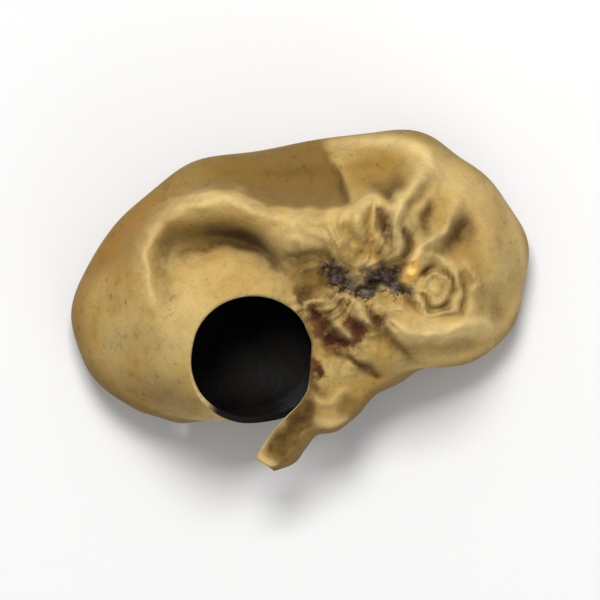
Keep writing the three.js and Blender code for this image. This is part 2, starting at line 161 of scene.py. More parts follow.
# Narrow crests of the pale back
CRESTS = (
    # along the long round fold north of the mouth
    (0.55, ((-16.1, -2.6, 0.1), (-16.6, -1.2, 0.35), (-16.9, 0.5, 0.45), (-16.9, 2.1, 0.45),
            (-16.3, 3.4, 0.45), (-15.5, 4.5, 0.4), (-14.3, 5.2, 0.45), (-12.8, 5.65, 0.5),
            (-11, 5.85, 0.55), (-9.7, 5.5, 0.5), (-8.5, 4.8, 0.4), (-6.9, 4.5, 0.4), (-5.3, 4.2, 0.4),
            (-3.7, 4.35, 0.4), (-2.1, 4.8, 0.4))),
    # the swells where it meets the hub
    (0.8, ((-6.9, 3, 0.2), (-6, 2.9, 0.35), (-5, 2.6, 0.3))),
    (0.6, ((-3.9, 3.1, 0.2), (-3.2, 3, 0.35), (-2.8, 2.4, 0.3))),
    # the loop at its east end, and the loop's east limb
    (0.36, ((-1, 3, 0.2), (-1.3, 4.6, 0.45), (-0.8, 5.6, 0.55), (-0.2, 5.9, 0.55), (0.5, 5.3, 0.45),
            (1.1, 4.9, 0.3))),
    (0.34, ((-0.1, 5.6, 0.3), (-0.05, 4.6, 0.35), (0.05, 3.8, 0.4), (0.35, 2.9, 0.4), (0.75, 2, 0.35),
            (1, 1.4, 0.2))),
    # the tall fold, and the thinner one on its east side
    (0.55, ((1.7, 1.9, 0.2), (1.5, 3, 0.3), (1.45, 4, 0.35), (1.55, 5, 0.4), (1.95, 5.7, 0.5),
            (2.6, 6.5, 0.5), (3.2, 7.2, 0.5), (3.6, 8, 0.5), (3.9, 8.8, 0.5), (3.3, 9.6, 0.4))),
    (0.3, ((2.9, 2.9, 0.25), (2.6, 3.9, 0.45), (2.9, 4.8, 0.45), (3.6, 5.5, 0.4), (4.3, 6.5, 0.2))),
    # the spur east of the scar
    (0.38, ((2.5, 0, 0.5), (2.9, 1.3, 0.6), (3.5, 2.3, 0.55), (4.5, 3, 0.55), (5.2, 3.7, 0.5),
            (5.6, 4.6, 0.35), (6.3, 5.7, 0.15))),
    # the lip under the whorl
    (0.45, ((1.2, -3.3, 0.4), (2.2, -3.9, 0.55), (3.2, -4.2, 0.65), (4.5, -3.95, 0.55), (5.5, -3.9, 0.5),
            (6.6, -3.4, 0.55), (8, -3.6, 0.5), (9, -4.1, 0.3))),
    # arcs of the whorl
    (0.32, ((3.3, 1.2, 0.2), (4, 1.55, 0.4), (4.8, 1.5, 0.5), (5.5, 1.1, 0.5), (6, 0.5, 0.5),
            (6.25, -0.3, 0.5), (6.2, -1.1, 0.5), (5.9, -1.9, 0.45), (5.3, -2.5, 0.4), (4.5, -2.8, 0.3))),
    (0.28, ((2.9, 0.3, 0.2), (2.95, -0.6, 0.4), (3.1, -1.5, 0.45), (3.5, -2.3, 0.45), (4, -2.8, 0.3))),
    (0.26, ((3.8, -0.3, 0.35), (4.3, 0.2, 0.4), (5, 0, 0.4), (5.3, -0.7, 0.4), (5.1, -1.5, 0.4),
            (4.4, -1.9, 0.3))),
    (0.4, ((4.3, -0.7, 0.3), (4.5, -1, 0.35), (4.2, -1.3, 0.25))),
    (0.27, ((6.6, 1.3, 0.15), (6.95, 0.5, 0.35), (7.15, -0.5, 0.4), (7.15, -1.5, 0.4), (6.95, -2.4, 0.35),
            (6.4, -3, 0.15))),
    # lumps in the scar
    (0.32, ((-1.7, 0.1, 0.3), (-1.2, -0.1, 0.4))),
    (0.35, ((-0.8, 1.1, 0.4), (-0.3, 1, 0.3))),
    (0.28, ((0.5, -0.9, 0.4), (1, -0.9, 0.3))),
    # across the waist, where it gives way to the tab
    (0.34, ((-4.7, -8.7, 0.25), (-3.8, -9.1, 0.35), (-2.8, -8.8, 0.3), (-2.1, -8.5, 0.2))),
    # shreds round the red pits
    (0.24, ((-5.3, -2.7, 0.25), (-5, -2, 0.45), (-4.3, -1.6, 0.45), (-3.7, -2, 0.25))),
    (0.24, ((-3, -1.4, 0.2), (-2.1, -1.4, 0.45), (-1.4, -2.1, 0.45), (-0.7, -3.2, 0.45))),
    (0.22, ((-2.9, -2.2, 0.3), (-2.9, -3.2, 0.4), (-2.5, -3.9, 0.45), (-1.9, -4.2, 0.35))),
    (0.3, ((0.1, -2.2, 0.3), (1, -2, 0.3), (1.9, -2.2, 0.45))),
)
# Narrow creases of the pale back
CREASES = (
    # the deep end of the crease beside the collar
    (0.5, ((-14.6, 1.7, -0.15), (-13.1, 2.1, -0.3), (-11.9, 2.5, -0.4), (-10.4, 2.75, -0.5),
            (-9, 2.3, -0.55), (-7.9, 1.5, -0.4), (-7, 0.6, -0.3), (-6.5, -0.3, -0.15))),
    # along the inner side of the long fold's west end
    (0.6, ((-15.5, -1.2, -0.1), (-15.8, 0.6, -0.2), (-15.7, 2, -0.25), (-15, 3.2, -0.2))),
    # where the shaded back wall ends
    (0.34, ((-3.6, 9.5, -0.1), (-3.3, 8.5, -0.3), (-2.7, 7.4, -0.25), (-2.4, 6.5, -0.3),
            (-2.1, 5.5, -0.2))),
    # pits beside the tall fold
    (0.4, ((0.5, 4.8, -0.3), (0.65, 4.1, -0.5), (0.8, 3.4, -0.5), (1.1, 2.4, -0.25))),
    (0.42, ((2.1, 4.2, -0.1), (2.25, 3.7, -0.35), (2.4, 3, -0.55), (2.4, 2.2, -0.4), (2, 1.3, -0.2))),
    (0.42, ((4.2, 5.4, -0.2), (3.9, 4.8, -0.4), (3.7, 4, -0.4), (3.7, 3.3, -0.2))),
    (0.34, ((0.5, 6.2, -0.2), (1, 6.1, -0.4), (1.6, 6.8, -0.2))),
    # the green hollow in the east lobe
    (0.6, ((5.2, 2.1, -0.1), (5.8, 2.8, -0.25), (6.4, 3.8, -0.3), (6.9, 4.6, -0.1))),
    # between the whorl's arcs
    (0.34, ((3.5, 0.9, -0.3), (3.7, 0.4, -0.4), (4.1, 0.5, -0.3))),
    (0.32, ((4.5, 0.7, -0.25), (5.2, 0.5, -0.35), (5.6, -0.1, -0.3), (5.7, -1, -0.25))),
    (0.34, ((3.7, -1.6, -0.25), (4, -2.2, -0.35), (4.7, -2.3, -0.3), (5.3, -2, -0.25))),
    (0.32, ((6.55, 0.2, -0.2), (6.65, -0.8, -0.3), (6.6, -1.6, -0.3), (6.3, -2.4, -0.35))),
    # beside the hub, north-west of the scar
    (0.3, ((-6.6, 1.5, -0.2), (-5.3, 1.6, -0.35), (-4, 1.9, -0.35), (-3.2, 1.5, -0.2))),
    (0.28, ((-5.6, -0.6, -0.2), (-5, -1.2, -0.35), (-5.3, -1.9, -0.2))),
    # across the waist
    (0.3, ((-2.6, -5.5, -0.2), (-1.3, -6.3, -0.5), (0, -7, -0.35))),
    (0.36, ((0.3, -3.6, -0.25), (1.3, -4.7, -0.3), (2.5, -6, -0.3))),
    # down the tab
    (0.5, ((-7.4, -12.4, -0.2), (-6.3, -11, -0.3), (-5.3, -9.9, -0.45), (-4.9, -8.9, -0.2))),
    # under the lip
    (0.5, ((2.4, -4.9, -0.1), (4, -5, -0.12), (5.6, -4.8, -0.12), (7.4, -4.7, -0.1))),
)
# Reddish pits beside the scar
RED_PITS = (
    (0.34, ((-4.6, -2.3, -0.4), (-4.3, -2.7, -0.8), (-3.8, -3.3, -0.6), (-3.5, -4.2, -0.5))),
    (0.36, ((-3.5, -4.4, -0.5), (-3, -4.8, -0.8), (-2.3, -4.7, -0.5))),
    (0.36, ((-1.7, -2.9, -0.4), (-1.4, -3.5, -0.8), (-1.2, -3.9, -0.4))),
    (0.26, ((0, -2.8, -0.4), (0.4, -3.2, -0.5))),
    (0.26, ((-4.4, -6.8, -0.4), (-4, -7.3, -0.5))),
)
# The bottom of the deep crease beside the collar, olive brown and darkened with painted shade, and the
# collar's edge that it ends at in plan
GROOVE = (1, ((-15.3, 2.4, -0.6), (-14, 2.8, -0.8), (-12.6, 3, -0.95), (-11.2, 3.1, -1.1), (-9.7, 2.8, -1.3),
              (-8.4, 2.1, -1.1), (-7.4, 1.1, -0.75), (-6.7, 0, -0.3)))
COLLAR_EDGE = ((-16, 1.1), (-14.9, 1.4), (-13.1, 1.85), (-11.9, 2.2), (-10.4, 2.4), (-8.9, 1.9), (-7.7, 1.1),
               (-6.8, 0.2), (-6.2, -0.9))
# Browner flesh of the pale back, and painted shade between, round and under its folds: half width, and
# points (x, y, share)
SHADE = (
    # the deepest stretch of the crease beside the collar
    (0.5, ((-10.6, 2.9, 0.5), (-9.6, 2.7, 1.3), (-8.6, 2.1, 0.8), (-7.8, 1.4, 0.3))),
    # between the long fold and the scar
    (0.5, ((-6.6, 1.5, 0.7), (-5.4, 1.5, 0.9), (-4.2, 1.8, 0.9), (-3.3, 1.7, 0.7))),
    (0.95, ((-5.6, 0.3, 0.9), (-4.7, 0, 1.5), (-3.7, 0.1, 1.4), (-2.2, 0.4, 1))),
    (0.35, ((-5.7, -0.8, 0.8), (-5, -1.3, 0.9), (-5.5, -2, 0.7))),
    (0.3, ((-5.2, 3.3, 0.4), (-4.7, 2.6, 0.5))),
    (0.3, ((-2.3, 3.9, 0.4), (-2.2, 3.1, 0.3))),
    # on the long fold, where its crest is darker, and inside its west end
    (0.45, ((-16.1, 4.3, 0.45), (-15.3, 5, 0.6), (-14.6, 5.1, 0.4))),
    (0.45, ((-8.9, 5.2, 0.45), (-8, 4.9, 0.6), (-7.4, 4.4, 0.4))),
    (0.45, ((-16, -1.5, 0.2), (-15.9, 1, 0.35), (-15.3, 2.9, 0.4))),
    # where the back wall ends
    (0.28, ((-3.2, 8.6, 0.3), (-2.6, 7.6, 0.7), (-2.4, 6.6, 1), (-2.3, 5.7, 0.8))),
    (0.4, ((-2.2, 5.9, 0.7), (-2.5, 7, 0.5))),
    # inside the loop at the long fold's east end
    (0.4, ((-0.7, 3.9, 0.3), (-0.8, 2.9, 0.5), (-0.6, 2.2, 0.3))),
    # round the tall fold
    (0.32, ((0.5, 4.7, 0.8), (0.6, 4, 1.3), (0.75, 3.2, 1.1))),
    (0.45, ((2.3, 3.9, 1), (2.4, 3, 2), (2.35, 2.2, 1.5))),
    (0.3, ((3.9, 7.6, 0.3), (3.2, 6.3, 0.5), (2.5, 5.5, 0.5))),
    (0.75, ((0, 6.6, 0.8), (0.9, 6.3, 1), (1.7, 7, 0.8))),
    (0.6, ((0.5, 1.8, 0.6), (1, 0.9, 0.8), (1.7, 1, 0.8))),
    (0.3, ((1.9, 1.4, 0.7), (2.2, 2.2, 0.9))),
    (0.6, ((4.1, 5.2, 0.5), (3.8, 4.6, 0.9), (3.7, 3.8, 0.7))),
    # the east lobe and its whorl
    (0.95, ((5.1, 2.1, 0.5), (5.9, 3, 0.95), (6.5, 4, 0.9), (7, 2.8, 0.6), (7.1, 1.6, 0.5))),
    (0.55, ((7.5, 0.6, 0.4), (7.9, -0.8, 0.6), (7.6, -2.4, 0.5))),
    (0.55, ((8.9, -0.6, 0.5), (8.8, -1.8, 0.6), (8.9, -2.8, 0.4))),
    (0.7, ((8.4, 4.9, 0.2), (9.1, 3.2, 0.3), (9.2, 1.6, 0.25))),
    (0.3, ((5.3, 0, 0.3), (5.3, -1.2, 0.5), (4.9, -2, 0.3))),
    (0.3, ((2.4, -1, 0.5), (2.6, -2.2, 0.3))),
    # round the red pits
    (0.5, ((-3.5, -1.5, 0.5), (-2.5, -1.7, 0.7), (-1.7, -1.3, 0.6))),
    (0.4, ((-2.6, -2.2, 0.5), (-3.4, -3, 0.6))),
    (1, ((-4.7, -2.7, 0.7), (-3.2, -4.3, 0.9), (-1.4, -3.5, 0.9), (0.4, -3, 0.7))),
    # the south-west silhouette, where the flank turns under
    (1.3, ((-20.2, -7, 0.2), (-18, -8.6, 0.4), (-15.5, -9, 0.55), (-13.8, -9.6, 0.4))),
    # under the lip
    (0.45, ((2.4, -5, 0.3), (4.6, -5, 0.25), (7, -4.8, 0.3))),
    # the waist and the tab
    (0.4, ((0, -3.4, 0.6), (1.1, -4.6, 0.6), (2.3, -5.6, 0.6))),
    (0.36, ((-3.6, -5.5, 0.5), (-2.2, -5.7, 0.7), (-0.9, -6.4, 0.9), (0.2, -7.1, 0.7))),
    (0.4, ((-4.9, -4.2, 0.6), (-4.8, -5.6, 0.6), (-4.7, -6.9, 0.9), (-4.6, -8.2, 0.9))),
    (0.45, ((-2.5, -9.5, 0.7), (-1.8, -9.1, 0.8))),
    (0.4, ((-4.6, -7.9, 0.6), (-4, -8.3, 0.6))),
    (0.85, ((-4.9, -9.2, 1.5), (-5.3, -10.2, 2.1), (-6.1, -11.4, 1.8), (-7.1, -12.4, 1.5))),
)
# Stains, and the torn scar, in the same form
RED_STAIN = (
    (0.75, ((-5, -2.1, 0.55), (-4.4, -2.9, 0.9), (-3.7, -4, 0.95), (-2.9, -4.6, 1.1), (-1.9, -4.6, 0.7))),
    (0.7, ((-2.1, -2.6, 0.55), (-1.5, -3.4, 0.95), (-1.2, -4, 0.75))),
    (0.6, ((-0.5, -2.4, 0.55), (0.3, -3.1, 0.8))),
    (0.5, ((-4.6, -6.4, 0.7), (-4.2, -7.2, 0.85))),
    (0.45, ((-5.6, -0.9, 0.5), (-5.2, -1.9, 0.6))),
)
SCAR = (
    (0.95, ((-3.3, 0.7, 0.8), (-2.6, 0, 0.85), (-1.6, -0.5, 0.85), (-0.5, -0.4, 0.9), (0.7, -0.3, 1),
            (1.7, -0.6, 1))),
    (0.65, ((-0.4, 0.7, 0.5), (0.8, 0.7, 0.7))),
    (0.55, ((-0.6, -0.6, 0.7), (0.2, -0.5, 1), (1.6, -0.3, 0.8))),
)
BROWN_TINGE = (
    (1.7, ((-20.9, 0.4, 0.5), (-19.8, 2, 1.2), (-18.3, 3.6, 1.4), (-17, 5.2, 0.9), (-15.6, 6.5, 0.3))),
    (0.8, ((-21.9, -1, 0.4), (-22.2, -3, 0.5), (-21.8, -5, 0.4))),
)
ORANGE_TIP = (0.42, ((2.3, 0.1, 0.9), (2.7, 0.3, 1), (2.9, 1.2, 0.5)))
# Painted highlight, the brightest felt, in the same form
PAINTED_HIGHLIGHTS = (
    # the margin
    (0.5, ((-3, 10, 0.5), (0, 10.2, 0.8), (2, 10, 0.9), (3.6, 9.3, 1.1), (4, 8.5, 0.9))),
    (1.3, ((5.5, 8.3, 0.2), (6.8, 7, 0.3), (8, 5.8, 0.2))),
    (0.45, ((8.6, 7, 0.2), (9.9, 5, 0.4), (10.9, 2, 0.5), (11.1, 0, 0.5), (10.6, -1.6, 0.5),
            (9.6, -3.6, 0.4))),
    (0.35, ((8.5, -5, 0.4), (6.5, -5.8, 0.5), (4, -5.9, 0.5))),
    # the collar
    (1.9, ((-14.3, -4, 0.25), (-13.6, -1.2, 0.4), (-11, 0.4, 0.25), (-8, -0.3, 0.4))),
    # a lump in the scar
    (0.35, ((-0.9, 1.1, 0.6), (-0.3, 1.1, 0.6))),
    # the lip
    (0.8, ((2.2, -3.7, 0.7), (3.4, -4.1, 1.3), (5, -3.9, 1.2), (7, -3.6, 1.2), (8.6, -3.8, 0.7))),
    # the long fold's east end
    (1, ((-7, 3, 0.5), (-5.4, 2.9, 0.7), (-3.4, 3.2, 0.5))),
    # round the tab's end, and the waist's edge beside it
    (0.28, ((-6.9, -9.9, 0.4), (-7.7, -11.2, 0.7), (-8.5, -12.6, 0.9), (-8.3, -13.3, 1), (-7.4, -13.8, 1))),
    (0.32, ((-4.3, -10.4, 0.6), (-3.2, -10.7, 0.9), (-2.2, -10.4, 0.7))),
    # the tall fold, and the swell along the east margin
    (0.45, ((1.65, 2.3, 1), (1.45, 3.3, 1.8), (1.45, 4.3, 1.8), (1.7, 5.2, 1.2))),
    (1.6, ((4.5, 7.6, 0.25), (6.3, 6.2, 0.4), (7.9, 4.4, 0.3), (8.6, 2, 0.25), (8.6, 0, 0.25))),
)
# The wall north of the long fold, darkened with painted shadow: its south edge in plan, and the line where
# it ends in the east
WALL_FOOT = ((-17, 5.2), (-15, 5.9), (-12, 6.3), (-10, 6.15), (-8.5, 5.5), (-6, 5), (-2, 5.1))
WALL_END = ((-3.6, 9.6), (-3.3, 8.5), (-2.7, 7.4), (-2.4, 6.5), (-2.1, 5.4))
# The tan hollow east of that line, its tan deepened with painted shade, as middle and reach in x and y
TAN_HOLLOW = ((0.2, 7.9), (2.6, 1.7))
WHORL = (4.5, -0.9)  # middle of the ringed whorl
WHORL_REACH = 2.9  # radius at which its rings have died away
PUCKERED = ((-0.6, -0.8), (20, 13))  # middle of the puckered flesh, and its squared reach in x and y
PLEATS_FROM = (-0.5, -0.5)  # where the fine pleats radiate from
PLEATS = 23  # fine pleats in a full turn


def smooth(low, high, values):
    """0 below low, 1 above high, with a soft start and end."""
    share = np.clip((values - low) / (high - low), 0, 1)
    return share * share * (3 - 2 * share)


def through(table, places):
    """A Catmull-Rom curve through the rows of a table, at places counted in rows."""
    rows = np.asarray(table, float)
    last = len(rows) - 1
    start = np.clip(np.floor(places).astype(int), 0, last - 1)
    share = (places - start)[:, None]
    before, here, after, beyond = (rows[np.clip(start + step, 0, last)] for step in (-1, 0, 1, 2))
    before = np.where((start == 0)[:, None], 2 * here - after, before)
    beyond = np.where((start == last - 1)[:, None], 2 * after - here, beyond)
    square = 2 * before - 5 * here + 4 * after - beyond
    cube = 3 * here - before - 3 * after + beyond
    return 0.5 * (2 * here + (after - before) * share + square * share**2 + cube * share**3)


def relief(line, plan):
    """Height of a crest or crease at plan points: a bell across its path, as high as the path says there."""
    width, points = line
    steps = 4 * (len(points) - 1)
    path = through(points, np.linspace(0, len(points) - 1, steps + 1))
    nearest = np.full(plan.shape[:-1], np.inf)
    height = np.zeros(plan.shape[:-1])
    for start, end in zip(path[:-1], path[1:]):
        step = end[:2] - start[:2]
        share = np.clip(((plan - start[:2]) @ step) / (step @ step), 0, 1)
        gap = np.sum((plan - start[:2] - share[..., None] * step) ** 2, -1)
        height = np.where(gap < nearest, start[2] + share * (end[2] - start[2]), height)
        nearest = np.minimum(nearest, gap)
    return height * np.exp(-nearest / width**2)


def total_relief(lines, plan):
    """Sum of the reliefs of several lines."""
    return sum(relief(line, plan) for line in lines)


def ripples(plan, length, seed, count=14):
    """A smooth random field of about unit height, whose ripples are about as long as given."""
    draw = np.random.default_rng(seed)
    angles = draw.uniform(0, 2 * math.pi, count)
    lengths = length * draw.uniform(0.75, 1.4, count)
    phases = draw.uniform(0, 2 * math.pi, count)
    waves = np.stack([np.cos(angles), np.sin(angles)]) * (2 * math.pi / lengths)
    return np.cos(plan @ waves + phases).sum(-1) * math.sqrt(2 / count)


def column_stations(columns):
    """Station of each column of points."""
    total = sum(share for _, _, share in SPANS)
    runs = [np.zeros(1)]
    for first, last, share in SPANS:
        count = round(columns * share / total)
        runs.append(np.linspace(first, last, count + 1)[1:])
    return np.concatenate(runs)


def facing(points):
    """Direction out of the pale side at each point of a grid of columns and rows."""
    normal = np.cross(np.gradient(points, axis=1), np.gradient(points, axis=0))
    return normal / np.maximum(np.linalg.norm(normal, axis=-1), 1e-9)[..., None]


def softened(grid, passes):
    """A grid of values, each one drawn towards its neighbours along both ways of the grid."""
    for _ in range(passes):
        for axis in (0, 1):
            before = np.roll(grid, 1, axis)
            after = np.roll(grid, -1, axis)
            mean = 0.25 * before + 0.5 * grid + 0.25 * after
            inner = (slice(1, -1), slice(None)) if axis == 0 else (slice(None), slice(1, -1))
            grid = grid.copy()
            grid[inner] = mean[inner]
    return grid


def sheet_middle(stations, body_rows, roll_rows, thickness):
    """The middle of the sheet as a grid of points, and how much of the folds' height there is at each."""
    rib = through(STATIONS, stations)
    foot, far = rib[:, 0:2], rib[:, 3:5]
    foot_z, shoulder_z, lift, drop, length = rib[:, 2], rib[:, 5], rib[:, 6], rib[:, 7], rib[:, 8]
    head = far - foot
    head /= np.linalg.norm(head, axis=1)[:, None]
    start = np.arctan(-drop)
    turn = np.radians(rib[:, 9])
    turn = np.where(np.abs(turn) < 0.02, 0.02, turn)
    radius = length / turn
    farthest = np.where(turn > 0, np.minimum(math.pi / 2, start + turn), start + turn)
    reach = radius * (np.sin(farthest) - np.sin(start)) + thickness / 2
    shoulder = far - reach[:, None] * head
    span = np.sum((shoulder - foot) * head, 1)

    out = np.linspace(0, 1, body_rows)[None, :]
    plan = foot[:, None] * (1 - out[..., None]) + shoulder[:, None] * out[..., None]
    z = foot_z[:, None] * (2 * out**3 - 3 * out**2 + 1) + shoulder_z[:, None] * (3 * out**2 - 2 * out**3)
    z = z + (span * lift)[:, None] * (out**3 - 2 * out**2 + out) + (span * drop)[:, None] * (out**3 - out**2)
    folded = (1 - smooth(SHOULDER_FADE, 1, out)) * (1 - smooth(*CORNER, stations)[:, None])
    z = z + total_relief(FOLDS, plan) * folded
    body = np.concatenate([plan, z[..., None]], -1)

    way = np.linspace(0, 1, roll_rows + 1)[None, 1:]
    angle = start[:, None] + turn[:, None] * way
    past = radius[:, None] * (np.sin(angle) - np.sin(start)[:, None])
    down = radius[:, None] * (np.cos(start)[:, None] - np.cos(angle))
    roll_plan = shoulder[:, None] + past[..., None] * head[:, None]
    roll = np.concatenate([roll_plan, (shoulder_z[:, None] - down)[..., None]], -1)

    points = np.concatenate([body, roll], 1)
    way_out = np.concatenate([out[0] * BODY_SHARE, BODY_SHARE + (1 - BODY_SHARE) * way[0]])[None, :]
    # slow waves of the margin, lower round the west end and gone at the tab and the inner wall
    wave = 0.16 * np.sin(2.1 * stations + 0.6) + 0.13 * np.sin(3.7 * stations + 2.2)
    wave *= (1 - 0.55 * smooth(18, 21, stations)) * smooth(3, 7, stations) * (1 - smooth(24, 27, stations))
    points = points + facing(points) * (wave[:, None] * smooth(0.25, 0.8, way_out))[..., None]
    # what hangs lowest lies flat on the floor
    above = points[..., 2] - thickness / 2
    pressed = np.where(above < SETTLE, np.maximum(above + SETTLE, 0) ** 2 / (4 * SETTLE), above)
    points[..., 2] = thickness / 2 + pressed
    return points, np.concatenate([folded, np.zeros((len(stations), roll_rows))], 1)


def whorl_rings(plan, spacing):
    """Rings round the whorl's middle, one at its crest and 0 where there are none."""
    away = plan - np.array(WHORL)
    far = np.hypot(away[..., 0], away[..., 1] * 1.12)
    angle = np.arctan2(away[..., 1], away[..., 0])
    wander = 0.3 * np.sin(angle + 2.6) + 0.22 * np.sin(2 * angle + 0.7) + 0.07 * np.sin(5 * angle + 2.0)
    broken = np.clip(0.75 + 0.4 * ripples(plan, 2.2, 9), 0.1, 1.2)
    ring = np.cos(2 * math.pi * (far / spacing + wander)) * broken
    return ring * smooth(0.15, 0.6, far) * (1 - smooth(WHORL_REACH - 1.2, WHORL_REACH, far))


def pleats(plan):
    """Fine pleats that radiate from the scar, one at their crests and 0 where there are none."""
    away = plan - np.array(PLEATS_FROM)
    far = np.hypot(away[..., 0], away[..., 1])
    angle = np.arctan2(away[..., 1], away[..., 0])
    pleat = np.cos(PLEATS * angle + 2.4 * ripples(plan, 3.2, 21))
    whorl = plan - np.array(WHORL)
    clear = smooth(2.2, 3.4, np.hypot(whorl[..., 0], whorl[..., 1])) * smooth(-7.2, -5.6, plan[..., 0])
    return pleat * clear * smooth(1.3, 2.8, far) * (1 - smooth(4.8, 8.2, far))


def puckers(plan):
    """How much the flesh is puckered, 1 at the scar, and the height of its puckers, one at their crests."""
    away = (plan - np.array(PUCKERED[0])) ** 2 / np.array(PUCKERED[1])
    pucker = np.maximum(1 - 1.6 * np.abs(ripples(plan, 1.5, 3)), -0.8) + 0.4 * ripples(plan, 0.9, 4)
    return np.exp(-away.sum(-1)), pucker


def fine_relief(sizes, plan, folded, heights):
    """Height of the pale back's narrow relief over the sheet, in millimetres."""
    near_scar, pucker = puckers(plan)
    fine = heights["crests"] + heights["creases"] + heights["pits"]
    fine = fine + sizes.ring_height / MM * heights["rings"]
    fine = fine + sizes.pucker_height / MM * pucker * near_scar
    fine = fine + sizes.pleat_height / MM * pleats(plan)
    fine = np.maximum(fine, -PIT_DEPTH * np.tanh(-fine / PIT_DEPTH)) * folded
    return fine + SWELL * ripples(plan, 3.4, 8) * (1 - near_scar)


def flesh_thickness(middle, thickness, edge):
    """Thickness of the sheet at each point of its middle: less near its edges."""
    across = np.linalg.norm(np.diff(middle, axis=1), axis=-1)
    way = np.concatenate([np.zeros((len(middle), 1)), np.cumsum(across, 1)], 1)
    to_edge = np.minimum(way, way[:, -1:] - way)
    return edge + (thickness - edge) * np.sqrt(np.clip(to_edge / THINNING, 0, 1))


def length_property(name, description, default):
    """A length that a user may change, in metres."""
    return bpy.props.FloatProperty(
        name=name, description=description, default=default, unit="LENGTH", precision=5
    )


class SheetSettings(bpy.types.PropertyGroup):
    """Sizes of the ear's sheet."""

    thickness: length_property("Thickness", "Thickness of the dried flesh", 0.8 * MM)
    edge_thickness: length_property("Edge thickness", "Thickness at the margin and the mouth", 0.42 * MM)
    ring_spacing: length_property("Ring spacing", "Distance between the whorl's rings", 0.95 * MM)
    ring_height: length_property("Ring height", "Height of the whorl's rings", 0.24 * MM)
    pucker_height: length_property("Pucker height", "Height of the crumpling round the scar", 0.28 * MM)
    pleat_height: length_property("Pleat height", "Height of the fine pleats round the scar", 0.18 * MM)
    columns: bpy.props.IntProperty(
        name="Columns", description="Columns of faces round the mouth", default=540, min=90, max=560
    )
    body_rows: bpy.props.IntProperty(
        name="Body rows", description="Rows of points out to the shoulder", default=64, min=19, max=90
    )
    roll_rows: bpy.props.IntProperty(
        name="Roll rows", description="Rows of faces round the rolled margin", default=26, min=9, max=36
    )


def colour_property(name, description, default):
    """A colour that a user may change, in scene-linear red, green and blue."""
    return bpy.props.FloatVectorProperty(
        name=name, description=description, default=default, subtype="COLOR", size=3, min=0, max=1
    )


class FleshColours(bpy.types.PropertyGroup):
    """Colours of the dried flesh."""

    flank: colour_property("Flank", "Felted back on the open flanks", (0.465, 0.315, 0.102))
    # painted highlight along the crests of the folds
    crest: colour_property("Crest", "Worn pale crests of the folds", (0.62, 0.452, 0.182))
    # painted highlight on the margin, the collar, the lip and the tall fold
    highlit: colour_property("Highlit", "Brightest felt, worn on the lip and the collar", (0.71, 0.52, 0.215))
    # painted shadow on the back wall north of the long fold
    wall: colour_property("Back wall", "Darker felt north of the long fold", (0.175, 0.097, 0.019))
    # tan felt, deepened with painted shade in the hollow
    tan: colour_property("Hollow", "Tan felt in the hollow east of the back wall", (0.285, 0.168, 0.033))
    # painted shade between and under the folds, and browner flesh
    shade: colour_property("Shade", "Browner flesh between the folds", (0.125, 0.068, 0.012))
    # painted shade at the bottom of the creases
    crease: colour_property("Crease", "Bottom of the creases", (0.060, 0.029, 0.007))
    # olive brown, darkened with painted shade in the deep crease
    groove: colour_property("Groove", "Olive brown crease beside the collar", (0.082, 0.045, 0.008))
    scar: colour_property("Scar", "Torn flesh where the ear sat on its branch", (0.030, 0.017, 0.011))
    scar_grey: colour_property("Scar, grey", "Bluish grey lumps of the scar", (0.115, 0.095, 0.08))
    red: colour_property("Red stain", "Reddish brown flesh beside the scar", (0.115, 0.046, 0.014))
    # the pits' red, darkened with painted shade towards their bottoms
    pit: colour_property("Red pit", "Dark red bottom of the pits", (0.048, 0.012, 0.004))
    orange: colour_property("Orange tip", "Bright tip east of the scar", (0.92, 0.54, 0.14))
    # painted shade where the margin turns under
    margin: colour_property("Margin", "Duller felt where the margin turns under", (0.16, 0.095, 0.026))
    tinge: colour_property("Tinge", "Brown stain along the west silhouette", (0.27, 0.135, 0.026))
    # near black, deepened as painted shade for the inside of the mouth
    inside: colour_property("Inside", "Smooth black inner face", (0.0025, 0.002, 0.0016))
    edge: colour_property("Edge", "Cut edge of the sheet", (0.42, 0.32, 0.17))


class StudioSettings(bpy.types.PropertyGroup):
    """Camera, lights and floor."""

    view_width: length_property("View width", "Width of floor that the camera sees", 44.5 * MM)
    camera_height: length_property("Camera height", "Height of the camera over the floor", 1.0)
    key_power: bpy.props.FloatProperty(
        name="Key power", description="Power of the large soft light", default=2.0, unit="POWER"
    )
    fill_power: bpy.props.FloatProperty(
        name="Fill power", description="Power of the low light from the far side", default=0.3, unit="POWER"
    )
    sky: bpy.props.FloatProperty(
        name="Sky", description="Strength of the even light from all round", default=0.4, min=0
    )
    floor: colour_property("Floor", "Plain pale floor", (0.80, 0.80, 0.80))


class Socket:
    """An output of a node. Arithmetic on it adds Math nodes to its tree."""

    def __init__(self, tree, output):
        self.tree = tree
        self.output = output

    def maths(self, operation, *values, clamp=False):
        """A Math node on these values, as a socket."""
        inputs = {place: value for place, value in enumerate(values)}
        return self.tree.add("ShaderNodeMath", {"operation": operation, "use_clamp": clamp}, inputs)

    def __add__(self, other):
        return self.maths("ADD", self, other)

    def __sub__(self, other):
        return self.maths("SUBTRACT", self, other)

    def __mul__(self, other):
        return self.maths("MULTIPLY", self, other)

    def __rsub__(self, other):
        return self.maths("SUBTRACT", other, self)

    __radd__ = __add__
    __rmul__ = __mul__

    def between(self, low, high):
        """0 at low and 1 at high, held to 0 and 1 beyond them."""
        return self.maths("MULTIPLY", self - low, 1 / (high - low), clamp=True)


